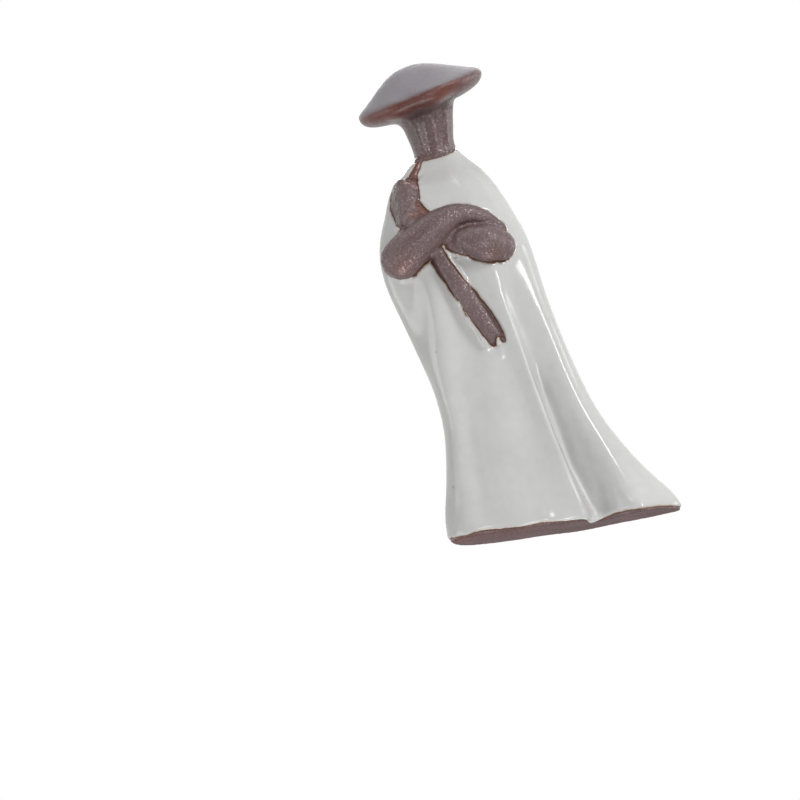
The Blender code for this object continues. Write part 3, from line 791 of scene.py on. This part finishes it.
def build_figurine():
    """Clay body and glaze, with the masks that their finishes read."""
    body = fine_body()
    refined(body)
    shaped(body)
    points, normals = points_of(body), normals_of(body)
    edges, triangles = edges_of(body), triangles_of(body)
    height = snapped(points, edges, without_islands(over_glaze(points), edges))
    crease = creases(points, normals, edges)
    thickness = GLAZE + np.clip(crease * CREASE_FILL, *CREASE_LIMITS) + pooled(points)
    skin, rim = glaze_skin(points, normals, triangles, height, thickness)
    reach = distance_to(points, rim)
    robe = robe_share(points, np.where(height > 0.0, reach, -reach), edges)
    drop = normals * (GLAZE * robe)[:, None]
    drop[points[:, 2] < DROP_FROM, 2] = 0.0
    put_points(body, points - drop)
    ash, brim = hat_marks(points, normals)
    below_hat = hat_place(points)[:, 2] < SHINY_TOP
    for name, values in (("from_edge", reach), ("crease", crease), ("ash", ash), ("brim", brim),
                         ("head", ease(-under_collar(points), *SHINY_FROM) * below_hat),
                         ("rust", np.clip(spots(points, RUST), 0.0, 1.0))):
        store(body, name, values)
    for piece in (body, skin):
        piece.data.shade_smooth()
    return body, skin


def srgb(red, green, blue):
    """Linear colour from the 0 to 255 values that the eye sees."""
    return tuple((v / 255.0 / 12.92) if v <= 10 else ((v / 255.0 + 0.055) / 1.055) ** 2.4
                 for v in (red, green, blue))


def feed(tree, socket, value):
    """Links a socket to another one, or sets it to a plain value."""
    if hasattr(value, "is_linked"):
        tree.links.new(value, socket)
    elif socket.type == "RGBA":
        socket.default_value = (*value, 1.0)
    else:
        socket.default_value = value


def node(tree, kind, inputs, **settings):
    """Adds a node with its settings, and feeds its inputs."""
    made = tree.nodes.new(kind)
    for key, value in settings.items():
        setattr(made, key, value)
    for name, value in inputs.items():
        feed(tree, made.inputs[name], value)
    return made


def sums(tree, operation, first, second):
    """Result of one sum on two sockets or numbers."""
    return node(tree, "ShaderNodeMath", {0: first, 1: second}, operation=operation).outputs[0]


def vector_sums(tree, operation, inputs, output="Vector"):
    """Result of one sum on directions or places."""
    return node(tree, "ShaderNodeVectorMath", inputs, operation=operation).outputs[output]


def mixed(tree, share, first, second, kind="FLOAT"):
    """Mix of two numbers, by a share."""
    inputs = {"Factor": share, "A": first, "B": second}
    return node(tree, "ShaderNodeMix", inputs, data_type=kind).outputs["Result"]


def blended(tree, share, first, second):
    """Mix of two colours, by a share."""
    return mixed(tree, share, first, second, "RGBA")


def spanned(tree, value, span, low=0.0, high=1.0, kind="LINEAR"):
    """A value brought from a span to between low and high."""
    inputs = {"Value": value, "From Min": span[0], "From Max": span[1], "To Min": low,
              "To Max": high}
    return node(tree, "ShaderNodeMapRange", inputs, interpolation_type=kind).outputs["Result"]


def ramp(tree, source, stops):
    """Colour ramp over a value, from places and greys, or places and colours."""
    made = tree.nodes.new("ShaderNodeValToRGB")
    bar = made.color_ramp
    while len(bar.elements) < len(stops):
        bar.elements.new(1.0)
    for element, (place, tone) in zip(bar.elements, stops):
        element.position = place
        element.color = (*(srgb(*tone) if isinstance(tone, tuple) else (tone,) * 3), 1.0)
    tree.links.new(source, made.inputs["Fac"])
    return made.outputs["Color"]


def mark(tree, name):
    """Reads a mask kept on the piece."""
    return node(tree, "ShaderNodeAttribute", {}, attribute_name=name).outputs["Fac"]


def place_on(tree):
    """Place on the piece, in metres."""
    return tree.nodes.new("ShaderNodeTexCoord").outputs["Object"]


def cloud(tree, scale, detail, roughness):
    """Noise over the piece."""
    inputs = {"Vector": place_on(tree), "Scale": scale, "Detail": detail, "Roughness": roughness}
    return node(tree, "ShaderNodeTexNoise", inputs).outputs["Fac"]


def kiln_mottle():
    """Group: slow and fine unevenness of a fired colour, for clay and glaze alike."""
    group = bpy.data.node_groups.new("kiln_mottle", "ShaderNodeTree")
    for name in ("Broad size", "Fine size", "Fine share"):
        group.interface.new_socket(name, in_out="INPUT", socket_type="NodeSocketFloat")
    group.interface.new_socket("Mottle", in_out="OUTPUT", socket_type="NodeSocketFloat")
    inside, outside = group.nodes.new("NodeGroupInput"), group.nodes.new("NodeGroupOutput")
    broad, fine = (cloud(group, sums(group, "DIVIDE", 1.0 / MM, inside.outputs[name]),
                         MOTTLE_DETAIL, MOTTLE_ROUGHNESS) for name in ("Broad size", "Fine size"))
    feed(group, outside.inputs["Mottle"], mixed(group, inside.outputs["Fine share"], broad, fine))
    return group


def mottled(tree, group, sizes):
    """Mottle of one finish, from its sizes and share."""
    inputs = dict(zip(("Broad size", "Fine size", "Fine share"), sizes))
    return node(tree, "ShaderNodeGroup", inputs, node_tree=group).outputs["Mottle"]


def finish(name, ior):
    """New material with a Principled shader, and how strongly it refracts."""
    made = bpy.data.materials.new(name)
    made.use_nodes = True
    shader = made.node_tree.nodes["Principled BSDF"]
    shader.inputs["IOR"].default_value = ior
    return made, made.node_tree, shader


def clay_colour(tree, mottle, glint, burnt):
    """Colour of the clay, with its ash and painted sheen on the hat top, burnt places, glaze edge,
    painted shade in its creases, and flakes.
    """
    tone = mottled(tree, mottle, CLAY_MOTTLE)
    # The hat top takes its dusty grey, which is partly a painted sheen from above.
    colour = blended(tree, mark(tree, "ash"), ramp(tree, tone, CLAY_TONES),
                     ramp(tree, tone, ASH_AND_SHEEN_TONES))
    colour = blended(tree, burnt, colour, ramp(tree, tone, BURNT_TONES))
    colour = blended(tree, mark(tree, "rust"), colour, ramp(tree, tone, RUST_TONES))
    near = ramp(tree, mark(tree, "from_edge"), EDGE_FADE)
    colour = blended(tree, near, colour, srgb(*EDGE_CLAY))
    # Painted shade: the deeper a crease, the more the clay turns dark burnt red-brown.
    deep = spanned(tree, mark(tree, "crease"), CREASE_SHADE_DEPTH, high=CREASE_SHADE_SHARE)
    colour = blended(tree, deep, colour, srgb(*CREASE_SHADE_CLAY))
    return blended(tree, sums(tree, "MULTIPLY", glint, FLAKE_LIGHT), colour, srgb(*FLAKE_TONE))


def clay_roughness(tree, glint):
    """Roughness of the clay: flakes, ash, burnt brim, head and foot differ from the rest."""
    rough = mixed(tree, glint, CLAY_DULL, CLAY_FLAKE)
    for name, value in ROUGH_PLACES:
        rough = mixed(tree, mark(tree, name), rough, value)
    upright = node(tree, "ShaderNodeSeparateXYZ", {"Vector": place_on(tree)}).outputs["Z"]
    foot = spanned(tree, upright, (FOOT_Z[0] * MM, FOOT_Z[1] * MM))
    return mixed(tree, foot, rough, CLAY_FOOT)


def clay_normal(tree, flakes, glint):
    """Grain of the clay, and the flakes that lean off its surface."""
    fine = cloud(tree, 1.0 / (GRAIN_SIZE * MM), *GRAIN_NOISE)
    height = mixed(tree, GRAIN_FLAKES, fine, flakes.outputs["Distance"])
    grain = node(tree, "ShaderNodeBump", {"Strength": GRAIN_STRENGTH,
                                          "Distance": GRAIN_HEIGHT * MM, "Height": height})
    tilt = vector_sums(tree, "SUBTRACT", {0: flakes.outputs["Color"], 1: (0.5, 0.5, 0.5)})
    amount = sums(tree, "MULTIPLY", glint, FLAKE_TILT)
    leaning = vector_sums(tree, "SCALE", {0: tilt, "Scale": amount})
    facing = vector_sums(tree, "ADD", {0: grain.outputs["Normal"], 1: leaning})
    return vector_sums(tree, "NORMALIZE", {0: facing})


def bare_clay(mottle):
    """Purple-brown clay with fine mineral sparkle, dusty on the hat with a painted sheen on its
    top, burnt at edges, with painted shade in its creases.
    """
    made, tree, shader = finish("bare_clay", CLAY_IOR)
    burnt = sums(tree, "MULTIPLY", mark(tree, "brim"), BURNT_SHARE)
    flakes = node(tree, "ShaderNodeTexVoronoi", {"Vector": place_on(tree),
                                                 "Scale": 1.0 / (FLAKE_SIZE * MM)})
    covered = sums(tree, "MAXIMUM", mark(tree, "ash"), burnt)
    glint = sums(tree, "MULTIPLY", ramp(tree, flakes.outputs["Color"], FLAKE_CHOICE),
                 sums(tree, "SUBTRACT", 1.0, covered))
    feed(tree, shader.inputs["Base Color"], clay_colour(tree, mottle, glint, burnt))
    feed(tree, shader.inputs["Metallic"], sums(tree, "MULTIPLY", glint, FLAKE_METAL))
    feed(tree, shader.inputs["Roughness"], clay_roughness(tree, glint))
    feed(tree, shader.inputs["Normal"], clay_normal(tree, flakes, glint))
    return made


def robe_glaze(mottle):
    """Milky off-white glaze, with an iron-brown line where it thins out at its edge."""
    made, tree, shader = finish("robe_glaze", GLAZE_IOR)
    shader.inputs["Roughness"].default_value = GLAZE_ROUGHNESS
    tone = mottled(tree, mottle, GLAZE_MOTTLE)
    edge = mark(tree, "from_edge")
    colour = blended(tree, ramp(tree, edge, THIN_FADE), ramp(tree, tone, GLAZE_TONES),
                     ramp(tree, edge, IRON_TONES))
    for x, y, z, size in SPECKS:
        away = vector_sums(tree, "DISTANCE", {0: place_on(tree), 1: (x * MM, y * MM, z * MM)},
                           "Value")
        spot = spanned(tree, away, (size * MM * SPECK_CORE, size * MM), SPECK_SHARE, 0.0)
        colour = blended(tree, spot, colour, srgb(*SPECK_TONE))
    feed(tree, shader.inputs["Base Color"], colour)
    ripple = cloud(tree, 1.0 / (RIPPLE_SIZE * MM), *RIPPLE_NOISE)
    bump = node(tree, "ShaderNodeBump", {"Strength": RIPPLE_STRENGTH,
                                         "Distance": RIPPLE_HEIGHT * MM, "Height": ripple})
    feed(tree, shader.inputs["Normal"], bump.outputs["Normal"])
    return made


def pale_floor():
    """Floor seen only from above, which lets light through to the foot and keeps a shadow."""
    bpy.ops.object.select_all(action="DESELECT")
    bpy.ops.mesh.primitive_plane_add(size=FLOOR_SIZE, location=(0.0, 0.0, FLOOR_Z))
    floor = bpy.context.object
    floor.name = "floor"
    made = bpy.data.materials.new("pale_floor")
    made.use_nodes = True
    tree = made.node_tree
    shader = tree.nodes["Principled BSDF"]
    shader.inputs["Base Color"].default_value = (*FLOOR_TONE, 1.0)
    shader.inputs["Roughness"].default_value = FLOOR_ROUGHNESS
    below = tree.nodes.new("ShaderNodeNewGeometry").outputs["Backfacing"]
    camera = tree.nodes.new("ShaderNodeLightPath").outputs["Is Camera Ray"]
    seen = sums(tree, "MULTIPLY", sums(tree, "SUBTRACT", 1.0, below), camera)
    away = vector_sums(tree, "LENGTH", {0: place_on(tree)}, "Value")
    near = spanned(tree, away, FLOOR_FADES, 1.0, 0.0, "SMOOTHSTEP")
    clear = tree.nodes.new("ShaderNodeBsdfTransparent").outputs["BSDF"]
    shown = node(tree, "ShaderNodeMixShader", {0: sums(tree, "MULTIPLY", seen, near), 1: clear,
                                               2: shader.outputs["BSDF"]})
    feed(tree, tree.nodes["Material Output"].inputs["Surface"], shown.outputs["Shader"])
    floor.data.materials.append(made)


def soft_world():
    """Even grey light from all round, and plain white where it is seen or mirrored."""
    world = bpy.data.worlds.new("studio")
    bpy.context.scene.world = world
    world.use_nodes = True
    tree = world.node_tree
    light = tree.nodes["Background"]
    light.inputs["Color"].default_value = (*WHITE, 1.0)
    light.inputs["Strength"].default_value = WORLD_LIGHT
    white = node(tree, "ShaderNodeBackground", {"Color": WHITE, "Strength": 1.0})
    path = tree.nodes.new("ShaderNodeLightPath")
    shown = path.outputs["Is Camera Ray"]
    for kind in ("Is Glossy Ray", "Is Transmission Ray"):
        shown = sums(tree, "MAXIMUM", shown, path.outputs[kind])
    both = node(tree, "ShaderNodeMixShader", {0: shown, 1: light.outputs["Background"],
                                              2: white.outputs["Background"]})
    feed(tree, tree.nodes["World Output"].inputs["Surface"], both.outputs["Shader"])


def soft_lamps():
    """Soft boxes on a sphere round the figurine, each turned to its middle."""
    middle = Vector(MIDDLE) * MM
    for index, (turn, lift, width, height, watts) in enumerate(LAMPS):
        turn, lift = math.radians(turn), math.radians(lift)
        way = Vector((math.sin(turn) * math.cos(lift), -math.cos(turn) * math.cos(lift),
                      math.sin(lift)))
        lamp = bpy.data.lights.new(f"softbox_{index}", "AREA")
        lamp.shape = "RECTANGLE"
        lamp.size, lamp.size_y = width * MM, height * MM
        lamp.energy = watts
        holder = bpy.data.objects.new(lamp.name, lamp)
        bpy.context.scene.collection.objects.link(holder)
        holder.location = middle + way * LAMP_AWAY * MM
        holder.rotation_euler = way.to_track_quat("Z", "Y").to_euler()


def photo_camera():
    """Camera from where the photo was taken."""
    lens = bpy.data.cameras.new("camera")
    lens.sensor_width = SENSOR
    away = (CAMERA_AIM - CAMERA_PLACE).length
    lens.lens = PHOTO_SCALE * away / PHOTO_WIDTH * SENSOR
    lens.clip_start = CAMERA_NEAR
    camera = bpy.data.objects.new("camera", lens)
    bpy.context.scene.collection.objects.link(camera)
    turn = (CAMERA_AIM - CAMERA_PLACE).to_track_quat("-Z", "Y").to_matrix()
    turn = turn @ Matrix.Rotation(math.radians(-CAMERA_ROLL), 3, "Z")
    camera.matrix_world = Matrix.Translation(CAMERA_PLACE * MM) @ turn.to_4x4()
    bpy.context.scene.camera = camera


def main():
    """Studio, figurine and finishes, in that order."""
    bpy.context.scene.view_settings.view_transform = "Standard"
    pale_floor()
    soft_world()
    soft_lamps()
    photo_camera()
    body, skin = build_figurine()
    mottle = kiln_mottle()
    body.data.materials.clear()
    body.data.materials.append(bare_clay(mottle))
    skin.data.materials.append(robe_glaze(mottle))
    for piece, slot in ((body, "bare_clay"), (skin, "robe_glaze")):
        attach(piece, "root")
    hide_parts(NODE)


main()
